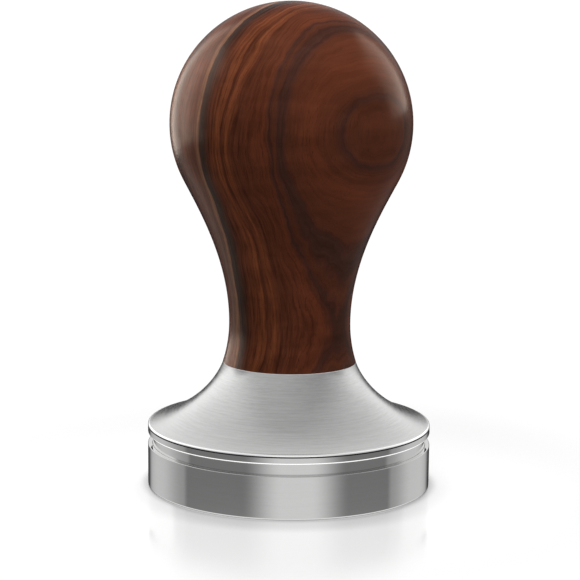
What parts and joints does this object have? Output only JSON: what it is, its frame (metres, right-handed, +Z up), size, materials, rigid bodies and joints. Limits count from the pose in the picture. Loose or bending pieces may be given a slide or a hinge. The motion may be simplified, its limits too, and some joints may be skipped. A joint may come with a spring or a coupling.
{
  "type": "espresso tamper",
  "caption": "Calibrated 58 mm espresso tamper: turned dark wood knob, flared satin steel collar and a polished steel disc on a spring-loaded stem",
  "frame": {"origin": "middle of the flat tamping face, which the tamper stands on", "axes": "+Z runs up the tamper's axis, from the tamping face to the knob"},
  "size_m": [0.058, 0.058, 0.0985],
  "materials": {
    "polished_steel": "polished stainless steel with faint turning lines, edges broken",
    "satin_steel": "satin stainless steel, finely turned round the axis",
    "machined_steel": "plain machined stainless steel",
    "zinc_plate": "bright zinc-plated steel",
    "spring_steel": "oiled spring wire",
    "bronze": "sintered bronze, matte",
    "brass": "turned and knurled brass",
    "nylon": "natural nylon, matte",
    "rubber": "black rubber",
    "dark_rosewood": "dark red-brown rosewood with near-black streaks, polished and oiled"
  },
  "bodies": {
    "base": {"base_disc": "polished_steel", "retaining_plate": "machined_steel", "plate_screw_1": "zinc_plate", "plate_screw_2": "zinc_plate", "plate_screw_3": "zinc_plate", "guide_bush": "bronze", "main_spring": "spring_steel"},
    "thrust_washer": {"spring_washer": "nylon"},
    "collar": {"collar": "satin_steel", "stem": "machined_steel", "lock_washer": "zinc_plate", "jam_nut": "zinc_plate"},
    "seal": {"foot_seal": "rubber"},
    "handle": {"handle": "dark_rosewood", "threaded_insert": "brass"}
  },
  "joints": [
    {"name": "press", "type": "slide", "parent": "base", "child": "thrust_washer", "axis": [0, 0, -1], "range_m": [0, 0.0022], "stiffness_N_per_m": 28300, "springref_m": -0.0025, "deforming": ["main_spring"]},
    {"name": "base_swivel", "type": "hinge", "parent": "thrust_washer", "child": "collar", "pos_m": [0, 0, 0.02], "axis": [0, 0, 1], "continuous": true},
    {"name": "handle_lift", "type": "slide", "parent": "collar", "child": "seal", "axis": [0, 0, 1], "range_m": [0, 0.012]},
    {"name": "handle_turn", "type": "hinge", "parent": "seal", "child": "handle", "pos_m": [0, 0, 0.026], "axis": [0, 0, 1], "range_deg": [0, 3456]}
  ],
  "couplings": [
    {"joint": "handle_lift", "follows": "handle_turn", "m_per_rad": 0.00019894}
  ]
}
